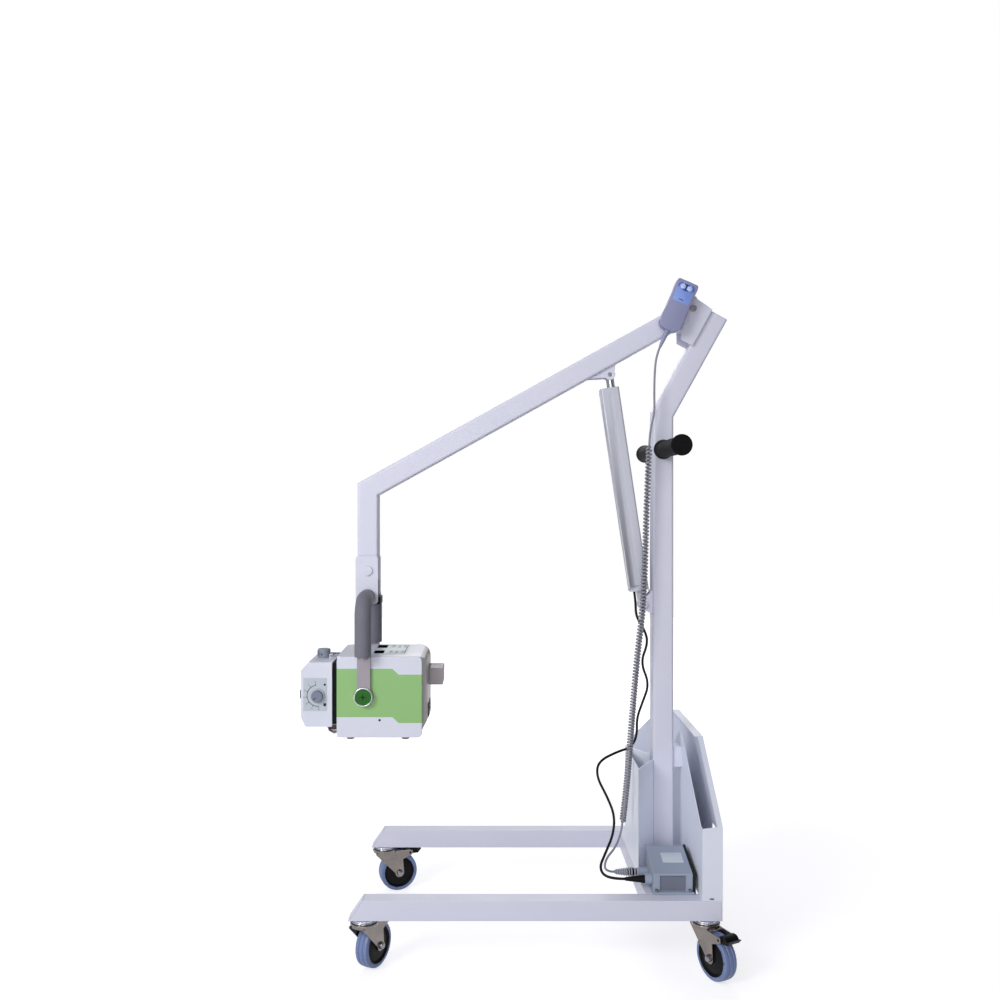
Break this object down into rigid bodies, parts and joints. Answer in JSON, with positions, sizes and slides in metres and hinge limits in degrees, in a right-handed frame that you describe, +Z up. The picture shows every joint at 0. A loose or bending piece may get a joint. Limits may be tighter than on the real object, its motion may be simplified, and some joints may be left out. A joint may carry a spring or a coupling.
{
  "type": "portable x-ray machine",
  "caption": "Portable x-ray machine: x-ray head in a carrying handle on a lift arm with an electric actuator, on a wheeled stand with a detector pocket and corded handset.",
  "frame": {"origin": "on the floor under the middle of the machine's outline at rest", "axes": "+Z up, +X toward the column and detector pocket, so the x-ray head points to -X, and Y across the legs"},
  "size_m": [1.0247, 0.636, 1.5756],
  "materials": {
    "white_paint": "satin powder coat",
    "cap_plastic": "matte",
    "bright_steel": "bright",
    "bar_steel": "satin",
    "grey_foam": "matte foam",
    "black_foam": "matte foam",
    "zinc": "zinc plated",
    "castor_tyre": "smooth blue grey",
    "black_plastic": "matte",
    "grey_box": "satin",
    "handset_shell": "matte",
    "button_plastic": "matte",
    "cord_rubber": "satin",
    "silver_housing": "anodised",
    "chrome_rod": "polished",
    "head_white": "satin",
    "green_plastic": "gloss",
    "knob_grey": "matte",
    "seal_rubber": "matte",
    "window_clear": "clear"
  },
  "bodies": {
    "stand": {"near_leg": "white_paint", "far_leg": "white_paint", "cross_beam": "white_paint", "column_tube": "white_paint", "tube_caps": "cap_plastic", "foot_shroud": "white_paint", "detector_pocket": "white_paint", "pocket_spacer": "white_paint", "control_box": "grey_box", "stand_screws": "bright_steel", "control_sockets": "black_plastic", "pivot_cheeks": "white_paint", "pivot_bolt": "bright_steel", "actuator_bracket": "white_paint", "push_bar": "bar_steel", "push_grips": "grey_foam", "castor_mounts": "zinc", "handset_body": "handset_shell", "handset_lead": "cord_rubber", "curly_cord": "cord_rubber", "tail_cord": "cord_rubber", "actuator_cable": "cord_rubber", "tail_plug": "black_plastic", "actuator_plug": "black_plastic"},
    "up_button": {"up_button": "button_plastic"},
    "down_button": {"down_button": "button_plastic"},
    "arm": {"arm_tube": "white_paint", "arm_gusset": "white_paint"},
    "actuator_tube": {"actuator_housing": "silver_housing"},
    "actuator_shaft": {"actuator_rod": "chrome_rod"},
    "hanger": {"hanger_plates": "white_paint", "saddle_clamp": "black_plastic", "handle_frame": "bar_steel", "handle_grips": "black_foam"},
    "head": {"hub_caps": "green_plastic", "unit_shell": "head_white", "unit_rear": "grey_box", "mains_inlet": "black_plastic", "unit_feet": "black_plastic", "collimator_body": "head_white", "collimator_seal": "seal_rubber", "front_window": "window_clear"},
    "rocker": {"rocker_switch": "green_plastic"},
    "field_dial": {"dial_knob": "knob_grey"},
    "lamp_knob": {"top_knob": "knob_grey"},
    "upper_latch": {"latch_top": "bright_steel"},
    "lower_latch": {"latch_bottom": "bright_steel"},
    "near_front_castor": {"near_front_fork": "zinc"},
    "near_front_roller": {"near_front_wheel": "castor_tyre"},
    "near_front_brake": {"near_front_pedal": "black_plastic"},
    "far_front_castor": {"far_front_fork": "zinc"},
    "far_front_roller": {"far_front_wheel": "castor_tyre"},
    "far_front_brake": {"far_front_pedal": "black_plastic"},
    "near_rear_castor": {"near_rear_fork": "zinc"},
    "near_rear_roller": {"near_rear_wheel": "castor_tyre"},
    "near_rear_brake": {"near_rear_pedal": "black_plastic"},
    "far_rear_castor": {"far_rear_fork": "zinc"},
    "far_rear_roller": {"far_rear_wheel": "castor_tyre"},
    "far_rear_brake": {"far_rear_pedal": "black_plastic"}
  },
  "joints": [
    {"name": "lift", "type": "hinge", "parent": "stand", "child": "arm", "pos_m": [0.42955, 0, 1.50874], "axis": [0, 1, 0], "range_deg": [0, 78]},
    {"name": "actuator_swing", "type": "hinge", "parent": "stand", "child": "actuator_tube", "pos_m": [0.3137, 0, 0.7916], "axis": [0, 1, 0], "range_deg": [0, 3.38]},
    {"name": "actuator_stroke", "type": "slide", "parent": "actuator_tube", "child": "actuator_shaft", "axis": [-0.1465, 0, 0.9892], "range_m": [0, 0.31649]},
    {"name": "hanger_swing", "type": "hinge", "parent": "arm", "child": "hanger", "pos_m": [-0.35761, 0, 0.87571], "axis": [0, 1, 0], "range_deg": [-93, 15]},
    {"name": "head_tilt", "type": "hinge", "parent": "hanger", "child": "head", "pos_m": [-0.35761, 0, 0.58571], "axis": [0, 1, 0], "range_deg": [-90, 60]},
    {"name": "rocker_press", "type": "hinge", "parent": "head", "child": "rocker", "pos_m": [-0.20901, -0.044, 0.54371], "axis": [0, 1, 0], "range_deg": [-16, 0]},
    {"name": "field_dial_turn", "type": "hinge", "parent": "head", "child": "field_dial", "pos_m": [-0.46901, -0.0773, 0.58271], "axis": [0, -1, 0], "range_deg": [0, 200]},
    {"name": "lamp_knob_turn", "type": "hinge", "parent": "head", "child": "lamp_knob", "pos_m": [-0.46701, 0, 0.66171], "axis": [0, 0, 1], "range_deg": [0, 200]},
    {"name": "upper_latch_lift", "type": "hinge", "parent": "head", "child": "upper_latch", "pos_m": [-0.44801, 0, 0.66771], "axis": [0, -1, 0], "range_deg": [0, 60]},
    {"name": "lower_latch_lift", "type": "hinge", "parent": "head", "child": "lower_latch", "pos_m": [-0.44801, 0, 0.50271], "axis": [0, 1, 0], "range_deg": [0, 60]},
    {"name": "up_press", "type": "slide", "parent": "stand", "child": "up_button", "axis": [0, 1, 0], "range_m": [0, 0.0015], "stiffness_N_per_m": 600},
    {"name": "down_press", "type": "slide", "parent": "stand", "child": "down_button", "axis": [0, 1, 0], "range_m": [0, 0.0015], "stiffness_N_per_m": 600},
    {"name": "near_front_swivel", "type": "hinge", "parent": "stand", "child": "near_front_castor", "pos_m": [-0.341, -0.225, 0.1146], "axis": [0, 0, 1], "continuous": true},
    {"name": "near_front_spin", "type": "hinge", "parent": "near_front_castor", "child": "near_front_roller", "pos_m": [-0.32403, -0.19439, 0.05], "axis": [-0.8746, 0.4848, 0], "continuous": true},
    {"name": "near_front_brake_press", "type": "hinge", "parent": "near_front_castor", "child": "near_front_brake", "pos_m": [-0.30997, -0.16902, 0.1], "axis": [-0.8746, 0.4848, 0], "range_deg": [0, 12]},
    {"name": "far_front_swivel", "type": "hinge", "parent": "stand", "child": "far_front_castor", "pos_m": [-0.341, 0.225, 0.1146], "axis": [0, 0, 1], "continuous": true},
    {"name": "far_front_spin", "type": "hinge", "parent": "far_front_castor", "child": "far_front_roller", "pos_m": [-0.30811, 0.23697, 0.05], "axis": [-0.342, 0.9397, 0], "continuous": true},
    {"name": "far_front_brake_press", "type": "hinge", "parent": "far_front_castor", "child": "far_front_brake", "pos_m": [-0.28086, 0.24689, 0.1], "axis": [-0.342, 0.9397, 0], "range_deg": [0, 12]},
    {"name": "near_rear_swivel", "type": "hinge", "parent": "stand", "child": "near_rear_castor", "pos_m": [0.417, -0.225, 0.1146], "axis": [0, 0, 1], "continuous": true},
    {"name": "near_rear_spin", "type": "hinge", "parent": "near_rear_castor", "child": "near_rear_roller", "pos_m": [0.43343, -0.2559, 0.05], "axis": [0.8829, 0.4695, 0], "continuous": true},
    {"name": "near_rear_brake_press", "type": "hinge", "parent": "near_rear_castor", "child": "near_rear_brake", "pos_m": [0.44705, -0.28151, 0.1], "axis": [0.8829, 0.4695, 0], "range_deg": [0, 12]},
    {"name": "far_rear_swivel", "type": "hinge", "parent": "stand", "child": "far_rear_castor", "pos_m": [0.417, 0.225, 0.1146], "axis": [0, 0, 1], "continuous": true},
    {"name": "far_rear_spin", "type": "hinge", "parent": "far_rear_castor", "child": "far_rear_roller", "pos_m": [0.43343, 0.2559, 0.05], "axis": [-0.8829, 0.4695, 0], "continuous": true},
    {"name": "far_rear_brake_press", "type": "hinge", "parent": "far_rear_castor", "child": "far_rear_brake", "pos_m": [0.44705, 0.28151, 0.1], "axis": [-0.8829, 0.4695, 0], "range_deg": [0, 12]}
  ],
  "couplings": [
    {"joint": "actuator_swing", "follows": "lift", "ratio": 0.042043},
    {"joint": "actuator_stroke", "follows": "lift", "m_per_rad": 0.23233}
  ]
}
